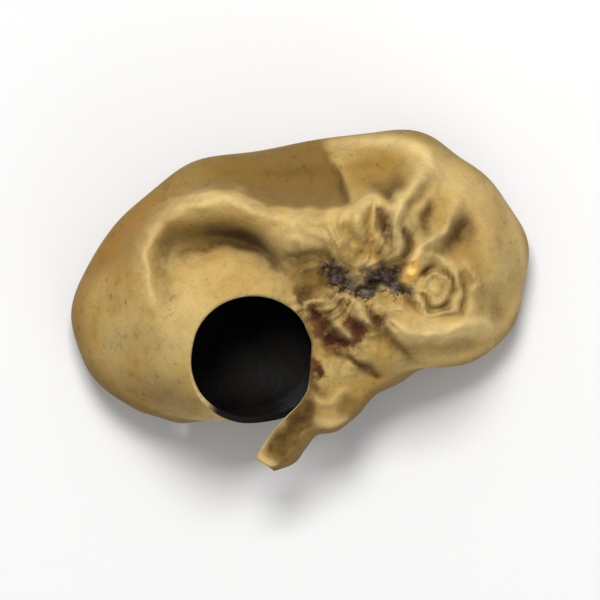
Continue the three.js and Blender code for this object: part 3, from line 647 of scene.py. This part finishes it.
class Shader:
    """The node tree of one new material."""

    def __init__(self, name):
        self.material = bpy.data.materials.new(name)
        self.material.use_nodes = True
        self.nodes = self.material.node_tree.nodes
        self.nodes.clear()

    def add(self, kind, settings=None, inputs=None, output=0):
        """A node with its settings and then the values or links of its sockets. Returns an output of it."""
        node = self.nodes.new(kind)
        for name, value in (settings or {}).items():
            setattr(node, name, value)
        for name, value in (inputs or {}).items():
            if isinstance(value, Socket):
                self.material.node_tree.links.new(value.output, node.inputs[name])
            elif hasattr(value, "__len__") and len(value) == 3 and node.inputs[name].type == "RGBA":
                node.inputs[name].default_value = (*value, 1)
            else:
                node.inputs[name].default_value = value
        return None if output is None else Socket(self, node.outputs[output])

    def mask(self, name):
        """One of the masks that the sheet carries."""
        return self.add("ShaderNodeAttribute", {"attribute_name": name}, output="Fac")

    def noise(self, size, detail=2.0, roughness=0.5):
        """Noise over the piece, whose blobs are about as large as size, in metres."""
        place = self.add("ShaderNodeTexCoord", output="Object")
        inputs = {"Vector": place, "Scale": 1 / size, "Detail": detail, "Roughness": roughness}
        return self.add("ShaderNodeTexNoise", inputs=inputs, output="Fac")

    def mix(self, share, first, second, blend="MIX"):
        """The first colour turned into the second by a share."""
        settings = {"data_type": "RGBA", "blend_type": blend}
        return self.add("ShaderNodeMix", settings, {"Factor": share, 6: first, 7: second}, output=2)

    def bump(self, height, distance, strength=1.0, under=None):
        """A normal bent by a height of 0 to 1, as deep as distance in metres."""
        inputs = {"Height": height, "Distance": distance, "Strength": strength}
        if under:
            inputs["Normal"] = under
        return self.add("ShaderNodeBump", inputs=inputs)

    def finish(self, **inputs):
        """The shader with these inputs, linked to the material's output. Returns the material."""
        named = {name.replace("_", " "): value for name, value in inputs.items()}
        surface = self.add("ShaderNodeBsdfPrincipled", inputs=named)
        self.add("ShaderNodeOutputMaterial", inputs={"Surface": surface}, output=None)
        return self.material


def felted_back(colours):
    """Pale matt felt, browner and with painted shade in the creases and under the margin, painted highlight
    on the crests, torn and dark at the scar.
    """
    shader = Shader("Felted back")
    clouds = shader.noise(4.5 * MM, detail=3)
    mottle = shader.noise(1.3 * MM, detail=4, roughness=0.6)
    felt = shader.noise(0.22 * MM, detail=3, roughness=0.65)
    pile = shader.noise(0.09 * MM, detail=2)
    broken = shader.noise(0.8 * MM, detail=4, roughness=0.65)
    flecks = shader.noise(0.42 * MM, detail=3, roughness=0.6)

    warm = tuple(value * share for value, share in zip(colours.flank, (0.93, 0.83, 0.64)))
    cool = tuple(value * share for value, share in zip(colours.flank, (1.04, 1.1, 1.26)))
    skin = shader.mix(clouds.between(0.35, 0.65), warm, cool)
    skin = shader.mix(mottle.between(0.52, 0.75) * 0.35, skin, colours.tinge)
    # painted shadow over the back wall
    skin = shader.mix(shader.mask("wall") * (0.8 + 0.2 * mottle), skin, colours.wall)
    # tan of the hollow, with painted shade
    skin = shader.mix(shader.mask("tan") * (0.55 + 0.45 * mottle), skin, colours.tan)
    # painted shade where the margin rolls under
    skin = shader.mix(shader.mask("margin") * (0.6 + 0.4 * mottle), skin, colours.margin)
    # painted shade in the troughs between the whorl's rings
    skin = shader.mix((0.5 - shader.mask("rings")).between(0, 0.4) * 0.9, skin, colours.shade)
    # painted shade between and under the folds, and browner patches of flesh
    skin = shader.mix(shader.mask("shade") * (0.5 + 0.8 * broken), skin, colours.shade)
    # painted shade at the bottom of the deep crease beside the collar
    skin = shader.mix(shader.mask("groove"), skin, colours.groove)
    skin = shader.mix(shader.mask("tinge") * (0.45 + 1.1 * mottle) * 0.8, skin, colours.tinge)
    stained = (shader.mask("red") + 2.2 * (broken - 0.5)).between(0.2, 0.8)
    # reddish stain, darkened with painted shade towards the pits' bottoms
    skin = shader.mix(stained, skin, shader.mix(shader.mask("pit"), colours.red, colours.pit))
    torn = (shader.mask("scar") + 2.4 * (flecks - 0.5)).between(0.32, 0.72)
    skin = shader.mix(torn, skin, shader.mix(broken.between(0.46, 0.62), colours.scar, colours.scar_grey))
    # painted highlight on the margin, the collar, the lip and the tall fold
    skin = shader.mix(shader.mask("highlit") * 0.8, skin, colours.highlit)
    # painted highlight along the crests of the folds
    skin = shader.mix(shader.mask("crest") * (0.5 + 0.5 * mottle), skin, colours.crest)
    # painted shade in the creases, broken by noise
    skin = shader.mix(shader.mask("crease") * broken.between(0.2, 0.6), skin, colours.crease)
    skin = shader.mix(shader.mask("orange"), skin, colours.orange)
    grain = 0.62 + 0.24 * felt + 0.18 * pile + 0.32 * mottle.between(0.3, 0.7)
    shade = shader.add("ShaderNodeCombineColor", inputs={"Red": grain, "Green": grain, "Blue": grain})
    skin = shader.mix(1.0, skin, shade, blend="MULTIPLY")

    normal = shader.bump(mottle, 0.16 * MM, 0.5)
    normal = shader.bump(felt, 0.06 * MM, 0.6, under=normal)
    normal = shader.bump(pile, 0.03 * MM, 0.5, under=normal)
    return shader.finish(
        Base_Color=skin,
        Roughness=0.82 + 0.14 * felt,
        Specular_IOR_Level=0.15,
        Sheen_Weight=0.12,
        Sheen_Roughness=0.45,
        Sheen_Tint=(1.0, 0.8, 0.48, 1.0),
        Normal=normal,
    )


def black_inside(colours):
    """The smooth inner face: near black, leathery, with a low gloss and fine wrinkles; its black is deepened
    as painted shade for the inside of the mouth.
    """
    shader = Shader("Black inside")
    clouds = shader.noise(3.0 * MM, detail=3)
    wrinkles = shader.noise(0.7 * MM, detail=4, roughness=0.6)
    dusty = tuple(value * 2.2 for value in colours.inside)
    # the inner face's black, deepened as painted shade
    skin = shader.mix(clouds.between(0.4, 0.7), colours.inside, dusty)
    normal = shader.bump(wrinkles, 0.12 * MM, 0.6)
    return shader.finish(
        Base_Color=skin,
        Roughness=0.5 + 0.22 * clouds,
        Specular_IOR_Level=0.15,
        Normal=normal,
    )


def dried_edge(colours):
    """The thin edge: tan where the felt folds over it, dark along the inner wall."""
    shader = Shader("Dried edge")
    grain = shader.noise(0.35 * MM, detail=3)
    tan = shader.mix(grain.between(0.35, 0.65), colours.edge, colours.crest)
    skin = shader.mix(shader.mask("pale_edge"), colours.inside, tan)
    return shader.finish(
        Base_Color=skin,
        Roughness=0.8 + 0.1 * grain,
        Specular_IOR_Level=0.25,
        Normal=shader.bump(grain, 0.05 * MM, 0.5),
    )


def plain_floor(colour):
    """The plain pale floor."""
    shader = Shader("Plain floor")
    return shader.finish(Base_Color=colour, Roughness=0.9, Specular_IOR_Level=0.2)


def deselect_all():
    """Nothing selected, so an operator acts only on what is added next."""
    for thing in bpy.context.selected_objects:
        thing.select_set(False)


def north_of(points, plan):
    """How far plan points lie north of a line through points."""
    line = np.array(points)
    return plan[..., 1] - np.interp(plan[..., 0], line[:, 0], line[:, 1])


def skin_masks(plan, crumpled, stations, folded, rolled, heights):
    """Masks of the skin's colours over the pale side's points, by name. Rolled is 0 at the shoulder."""
    upper = np.broadcast_to(1 - smooth(0.1, 0.4, rolled), folded.shape)
    wander = 0.1 * ripples(plan, 2.2, 5)
    end = np.array(WALL_END)[::-1]
    past_end = plan[..., 0] - np.interp(plan[..., 1], end[:, 1], end[:, 0]) + 2 * wander
    # the back wall's painted shadow, gone past its east end and weaker towards the west
    wall = smooth(-0.15, 0.2, north_of(WALL_FOOT, plan) + wander) * (1 - smooth(-0.2, 0.25, past_end))
    wall *= smooth(-18, -15, plan[..., 0]) * (0.6 + 0.4 * smooth(-15.5, -9.5, plan[..., 0])) * upper
    # the tan hollow, deepened with painted shade
    middle, reach = TAN_HOLLOW
    off = (plan - np.array(middle)) / np.array(reach)
    tan = 1 - smooth(0.55, 1.25, np.hypot(off[..., 0], off[..., 1]))
    # crest height, for the painted highlight on the folds
    crests = np.clip(heights["crests"] / 0.5, 0, 1)
    above_collar = smooth(-0.25, 0.35, north_of(COLLAR_EDGE, plan) + wander)
    return {
        "wall": wall,
        "tan": tan * upper * smooth(-0.1, 0.3, past_end),
        "crest": crests * folded,
        # painted shade between and under the folds, and browner patches
        "shade": np.clip(total_relief(SHADE, crumpled), 0, 1) * upper,
        # ring height, for the painted shade between the whorl's rings
        "rings": 0.5 + 0.5 * heights["rings"] * folded,
        # painted highlight on the margin, the collar, the lip and the tall fold
        "highlit": np.clip(total_relief(PAINTED_HIGHLIGHTS, plan), 0, 1) * upper,
        # crease depth, for the painted shade in the creases
        "crease": np.clip(-heights["creases"] / 0.5, 0, 1) * folded,
        # painted shade in the deep crease, ending at the collar's edge
        "groove": np.clip(heights["groove"], 0, 1) * folded * (1 - crests) * above_collar,
        "red": np.clip(total_relief(RED_STAIN, crumpled), 0, 1) * folded,
        # pit depth, for the painted shade in the red pits
        "pit": np.clip(-heights["pits"] / 0.6, 0, 1) * folded,
        "scar": np.clip(total_relief(SCAR, crumpled), 0, 1) * folded,
        "orange": np.clip(relief(ORANGE_TIP, plan) * 1.2, 0, 1) * folded,
        "tinge": np.clip(total_relief(BROWN_TINGE, plan), 0, 1) * upper,
        # painted shade where the margin rolls under, less over the back wall
        "margin": smooth(-0.3, 0.25, rolled) * (1 - 0.7 * wall),
        "pale_edge": np.broadcast_to((1 - smooth(26.0, 27.2, stations))[:, None], folded.shape),
    }


class WOODEAR_OT_sheet(bpy.types.Operator):
    """Grows the ear as one sheet round its mouth"""

    bl_idname = "wood_ear.sheet"
    bl_label = "Grow the Ear"

    def execute(self, context):
        sizes = context.scene.wood_ear_sheet
        colours = context.scene.wood_ear_colours
        thickness = sizes.thickness / MM
        stations = column_stations(sizes.columns)
        rows = sizes.body_rows + sizes.roll_rows
        middle, folded = sheet_middle(stations, sizes.body_rows, sizes.roll_rows, thickness)

        deselect_all()
        bpy.ops.mesh.primitive_grid_add(x_subdivisions=rows - 1, y_subdivisions=len(stations) - 1, size=2)
        ear = context.active_object
        ear.name = NODE + "_sheet"
        ear.data.name = ear.name
        flat = np.empty(3 * len(ear.data.vertices))
        ear.data.vertices.foreach_get("co", flat)
        flat = flat.reshape(-1, 3)
        if len(flat) != rows * len(stations):
            raise RuntimeError("the grid has %d points and not %d" % (len(flat), rows * len(stations)))
        row = np.rint((flat[:, 0] + 1) / 2 * (rows - 1)).astype(int)
        column = np.rint((flat[:, 1] + 1) / 2 * (len(stations) - 1)).astype(int)
        ear.data.vertices.foreach_set("co", (middle[column, row] * MM).ravel())

        # the thickness, and the materials of its two sides and its rim
        for material in (felted_back(colours), black_inside(colours), dried_edge(colours)):
            ear.data.materials.append(material)
        wall = ear.modifiers.new("Flesh", "SOLIDIFY")
        wall.thickness = sizes.thickness
        wall.offset = 0
        wall.material_offset = 1
        wall.material_offset_rim = 2
        bpy.ops.object.modifier_apply(modifier=wall.name)
        if len(ear.data.vertices) != 2 * len(flat):
            raise RuntimeError("the sheet didn't get its two sides")

        # both sides, with the relief on the pale one
        normal = softened(facing(middle), NORMAL_PASSES)
        normal /= np.linalg.norm(normal, axis=-1)[..., None]
        pale = middle + normal * (thickness / 2)
        plan = pale[..., :2]
        crumpled = plan + CRUMPLE * np.stack([ripples(plan, 1.6, 11), ripples(plan, 1.6, 12)], -1)
        heights = {
            "crests": total_relief(CRESTS, crumpled),
            "creases": total_relief(CREASES, crumpled),
            "pits": total_relief(RED_PITS, crumpled),
            "groove": np.clip(-relief(GROOVE, plan), 0, 1),
            "rings": whorl_rings(0.6 * plan + 0.4 * crumpled, sizes.ring_spacing / MM),
        }
        fine = fine_relief(sizes, plan, folded, heights)
        pale[..., 2] = np.maximum(pale[..., 2] + total_relief(WELTS, plan) * folded + fine, 0)
        flesh = flesh_thickness(middle, thickness, sizes.edge_thickness / MM)
        dark = middle + normal * (thickness / 2 - flesh)[..., None]
        dark[..., 2] += np.minimum(fine + SPARE_FLESH, 0)
        both = np.concatenate([pale[column, row], dark[column, row]])
        # in plan, the sheet's middle comes over the solid's
        low, high = (np.array(corner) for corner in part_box(NODE))
        shift = (low + high) / 2 / MM - (both.min(0) + both.max(0)) / 2
        shift[2] = 0
        ear.data.vertices.foreach_set("co", ((both + shift) * MM).ravel())

        rolled = (np.arange(rows) - sizes.body_rows + 1) / sizes.roll_rows
        masks = skin_masks(plan, crumpled, stations, folded, rolled, heights)
        for name, values in masks.items():
            layer = ear.data.attributes.new(name, "FLOAT", "POINT")
            one = values[column, row]
            layer.data.foreach_set("value", np.concatenate([one, one]).astype(np.float32))
        ear.data.shade_smooth()
        ear.data.update()
        cut = ear.modifiers.new("Cut along the crests", "TRIANGULATE")
        cut.quad_method = "SHORTEST_DIAGONAL"
        bpy.ops.object.modifier_apply(modifier=cut.name)
        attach(ear, "root")
        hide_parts(NODE)
        return {"FINISHED"}


class WOODEAR_OT_studio(bpy.types.Operator):
    """Adds the floor, the soft lights and the camera above the ear"""

    bl_idname = "wood_ear.studio"
    bl_label = "Set the Studio"

    def execute(self, context):
        studio = context.scene.wood_ear_studio
        deselect_all()
        bpy.ops.mesh.primitive_plane_add(size=1.6, location=(0, 0, 0))
        floor = context.active_object
        floor.name = "floor"
        floor.data.materials.append(plain_floor(studio.floor))

        self.soft_light("key", (-0.03, 0.22, 0.42), 0.17, studio.key_power)
        self.soft_light("fill", (0.22, -0.3, 0.2), 0.3, studio.fill_power)

        world = bpy.data.worlds.new("Studio")
        world.use_nodes = True
        world.node_tree.nodes["Background"].inputs["Color"].default_value = (1, 1, 1, 1)
        world.node_tree.nodes["Background"].inputs["Strength"].default_value = studio.sky
        context.scene.world = world

        bpy.ops.object.camera_add(location=(0, 0, studio.camera_height), rotation=(0, 0, 0))
        camera = context.active_object
        camera.name = "camera"
        camera.data.sensor_width = 36
        camera.data.sensor_fit = "HORIZONTAL"
        camera.data.lens = 36 * studio.camera_height / studio.view_width
        camera.data.clip_start = 0.01
        context.scene.camera = camera
        context.scene.view_settings.view_transform = "Standard"
        return {"FINISHED"}

    def soft_light(self, name, place, size, power):
        """A square light that faces the ear."""
        bpy.ops.object.light_add(type="AREA", location=place)
        light = bpy.context.active_object
        light.name = name
        light.data.shape = "SQUARE"
        light.data.size = size
        light.data.energy = power
        x, y, z = place
        light.rotation_euler = (math.atan2(math.hypot(x, y), z), 0, math.atan2(x, -y))


class WOODEAR_PT_panel(bpy.types.Panel):
    """Lists the ear's settings and operators"""

    bl_idname = "WOODEAR_PT_panel"
    bl_label = "Dried Wood Ear"
    bl_space_type = "VIEW_3D"
    bl_region_type = "UI"
    bl_category = "Wood Ear"

    def draw(self, context):
        scene = context.scene
        for group, operator in (
            (scene.wood_ear_sheet, WOODEAR_OT_sheet.bl_idname),
            (scene.wood_ear_colours, None),
            (scene.wood_ear_studio, WOODEAR_OT_studio.bl_idname),
        ):
            box = self.layout.box()
            for name in group.bl_rna.properties.keys():
                if name not in ("name", "rna_type"):
                    box.prop(group, name)
            if operator:
                box.operator(operator)


CLASSES = (
    SheetSettings,
    FleshColours,
    StudioSettings,
    WOODEAR_OT_sheet,
    WOODEAR_OT_studio,
    WOODEAR_PT_panel,
)


def register():
    """Registers the classes and hangs the settings on the scene."""
    for one in CLASSES:
        bpy.utils.register_class(one)
    bpy.types.Scene.wood_ear_sheet = bpy.props.PointerProperty(type=SheetSettings)
    bpy.types.Scene.wood_ear_colours = bpy.props.PointerProperty(type=FleshColours)
    bpy.types.Scene.wood_ear_studio = bpy.props.PointerProperty(type=StudioSettings)


def unregister():
    """Takes the settings and the classes away again."""
    del bpy.types.Scene.wood_ear_studio
    del bpy.types.Scene.wood_ear_colours
    del bpy.types.Scene.wood_ear_sheet
    for one in reversed(CLASSES):
        bpy.utils.unregister_class(one)


def main():
    """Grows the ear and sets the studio."""
    register()
    bpy.ops.wood_ear.sheet()
    bpy.ops.wood_ear.studio()


if __name__ == "__main__":
    main()
